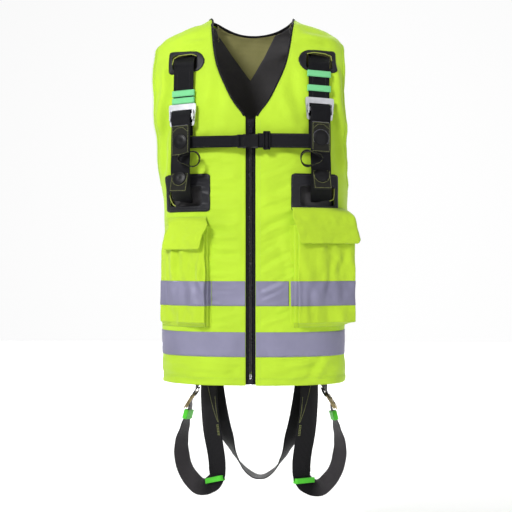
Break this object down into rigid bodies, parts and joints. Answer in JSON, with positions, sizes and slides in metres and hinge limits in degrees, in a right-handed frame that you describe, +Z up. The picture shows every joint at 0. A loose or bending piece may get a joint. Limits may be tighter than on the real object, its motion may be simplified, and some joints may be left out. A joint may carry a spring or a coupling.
{
  "type": "safety harness vest",
  "caption": "High-visibility waistcoat over a full body fall-arrest harness, with leg loops, chest strap, adjusters, pockets and a dorsal ring.",
  "frame": {"origin": "centre of the hem opening, where the wearer's torso enters", "axes": "+Z up the torso, -Y out of the wearer's chest, +X to the wearer's left"},
  "size_m": [0.4274, 0.2921, 1.0044],
  "materials": {
    "hi_vis_cloth": "matt polyester twill, fluorescent yellow",
    "mesh_lining": "open black mesh over yellow cloth",
    "black_binding": "matt woven tape",
    "yellow_binding": "matt woven binding",
    "reflective_tape": "retroreflective grey satin",
    "black_patch": "coated cloth with a slight sheen",
    "black_webbing": "woven polyester, slight sheen",
    "mint_elastic": "woven elastic",
    "green_elastic": "woven elastic",
    "black_plastic": "moulded, satin",
    "plated_steel": "bright nickel plating",
    "zinc_steel": "yellow zinc plating"
  },
  "bodies": {
    "vest": {"armhole_binding_left": "yellow_binding", "armhole_binding_right": "yellow_binding", "back_panel": "hi_vis_cloth", "back_webs": "black_webbing", "chest_patches": "black_patch", "dorsal_patch": "black_patch", "dorsal_plate": "black_plastic", "flap_yokes": "hi_vis_cloth", "front_panel_left": "hi_vis_cloth", "front_panel_right": "hi_vis_cloth", "front_strap_left": "black_webbing", "front_strap_right": "black_webbing", "front_webs": "black_webbing", "lining_back": "mesh_lining", "lining_front": "mesh_lining", "lower_tape_back": "reflective_tape", "lower_tape_front": "reflective_tape", "neck_binding": "black_binding", "pocket_left": "hi_vis_cloth", "pocket_right": "hi_vis_cloth", "pocket_tapes": "reflective_tape", "shoulder_patches": "black_patch", "shoulder_strap_left": "black_webbing", "shoulder_strap_right": "black_webbing", "upper_tape_back": "reflective_tape", "upper_tape_front": "reflective_tape", "zip_retainer": "black_plastic", "zip_tape_left": "black_binding", "zip_tape_right": "black_binding", "zip_teeth": "black_plastic"},
    "zip_slider": {"zip_slider": "black_plastic"},
    "zip_pull": {"zip_pull": "black_plastic"},
    "pocket_flap_left": {"pocket_flap_left": "hi_vis_cloth"},
    "pocket_flap_right": {"pocket_flap_right": "hi_vis_cloth"},
    "front_harness": {"adjuster_frame_left": "plated_steel", "adjuster_frame_right": "plated_steel", "strap_tabs_left": "black_patch", "strap_tabs_right": "black_patch", "chest_strap_left": "black_webbing", "chest_strap_right": "black_webbing", "chest_buckle_female": "black_plastic", "chest_adjuster": "black_plastic"},
    "adjuster_bar_left": {"adjuster_bar_left": "plated_steel"},
    "adjuster_bar_right": {"adjuster_bar_right": "plated_steel"},
    "attachment_loop_left": {"attachment_loop_left": "black_webbing"},
    "attachment_loop_right": {"attachment_loop_right": "black_webbing"},
    "chest_buckle_male": {"chest_buckle_male": "black_plastic"},
    "upper_keeper_left": {"upper_keeper_left": "mint_elastic"},
    "lower_keeper_left": {"lower_keeper_left": "mint_elastic"},
    "upper_keeper_right": {"upper_keeper_right": "mint_elastic"},
    "lower_keeper_right": {"lower_keeper_right": "mint_elastic"},
    "dorsal_ring": {"dorsal_ring": "plated_steel"},
    "leg_harness": {"seat_strap": "black_webbing", "thigh_strap_left": "black_webbing", "thigh_strap_right": "black_webbing", "hip_straps": "black_webbing", "hip_buckle_frames": "zinc_steel", "thigh_keepers": "green_elastic"},
    "hip_buckle_plate_left": {"hip_buckle_plate_left": "zinc_steel"},
    "hip_buckle_plate_right": {"hip_buckle_plate_right": "zinc_steel"}
  },
  "joints": [
    {"name": "zip_slide", "type": "slide", "parent": "vest", "child": "zip_slider", "axis": [0, 0, 1], "range_m": [-0.505, 0]},
    {"name": "zip_pull_swing", "type": "hinge", "parent": "zip_slider", "child": "zip_pull", "pos_m": [0, -0.1231, 0.5315], "axis": [-1, 0, 0], "range_deg": [0, 150]},
    {"name": "pocket_flap_left_lift", "type": "hinge", "parent": "vest", "child": "pocket_flap_left", "pos_m": [0.0988, -0.12807, 0.346], "axis": [-0.8929, -0.4503, 0], "range_deg": [0, 120]},
    {"name": "pocket_flap_right_lift", "type": "hinge", "parent": "vest", "child": "pocket_flap_right", "pos_m": [-0.09614, -0.13388, 0.338], "axis": [-0.8447, 0.5353, 0], "range_deg": [0, 120]},
    {"name": "shoulder_adjust", "type": "slide", "parent": "vest", "child": "front_harness", "axis": [0, 0.1132, 0.9936], "range_m": [-0.025, 0], "deforming": ["front_strap_left", "front_strap_right"]},
    {"name": "adjuster_bar_left_slide", "type": "slide", "parent": "front_harness", "child": "adjuster_bar_left", "axis": [0, 0.1132, 0.9936], "range_m": [-0.002, 0.002]},
    {"name": "adjuster_bar_right_slide", "type": "slide", "parent": "front_harness", "child": "adjuster_bar_right", "axis": [0, 0.1132, 0.9936], "range_m": [-0.002, 0.002]},
    {"name": "attachment_loop_left_swing", "type": "hinge", "parent": "front_harness", "child": "attachment_loop_left", "pos_m": [0.14, -0.1365, 0.457], "axis": [0, 0, 1], "range_deg": [0, 60]},
    {"name": "attachment_loop_right_swing", "type": "hinge", "parent": "front_harness", "child": "attachment_loop_right", "pos_m": [-0.14, -0.1405, 0.457], "axis": [0, 0, -1], "range_deg": [0, 60]},
    {"name": "chest_buckle_release", "type": "slide", "parent": "front_harness", "child": "chest_buckle_male", "axis": [-1, 0, 0], "range_m": [0, 0.022], "deforming": ["chest_strap_right"]},
    {"name": "upper_keeper_left_slide", "type": "slide", "parent": "vest", "child": "upper_keeper_left", "axis": [0, 0.1132, 0.9936], "range_m": [-0.008, 0]},
    {"name": "lower_keeper_left_slide", "type": "slide", "parent": "vest", "child": "lower_keeper_left", "axis": [0, 0.1132, 0.9936], "range_m": [-0.005, 0.008]},
    {"name": "upper_keeper_right_slide", "type": "slide", "parent": "vest", "child": "upper_keeper_right", "axis": [0, 0.1132, 0.9936], "range_m": [0, 0.034]},
    {"name": "lower_keeper_right_slide", "type": "slide", "parent": "vest", "child": "lower_keeper_right", "axis": [0, 0.1132, 0.9936], "range_m": [0, 0.034]},
    {"name": "dorsal_ring_swing", "type": "hinge", "parent": "vest", "child": "dorsal_ring", "pos_m": [0, 0.11338, 0.62223], "axis": [1, 0, 0], "range_deg": [-8, 115]},
    {"name": "leg_harness_swing", "type": "hinge", "parent": "vest", "child": "leg_harness", "pos_m": [0.014, -0.03, 0.022], "axis": [1, 0, 0], "range_deg": [-20, 20]},
    {"name": "hip_buckle_left_tilt", "type": "hinge", "parent": "leg_harness", "child": "hip_buckle_plate_left", "pos_m": [0.1735, 0.014, -0.05676], "axis": [0, 1, 0], "range_deg": [0, 25]},
    {"name": "hip_buckle_right_tilt", "type": "hinge", "parent": "leg_harness", "child": "hip_buckle_plate_right", "pos_m": [-0.1455, 0.014, -0.05676], "axis": [0, -1, 0], "range_deg": [0, 25]}
  ],
  "couplings": [
    {"joint": "lower_keeper_right_slide", "follows": "upper_keeper_right_slide", "ratio": 1}
  ]
}
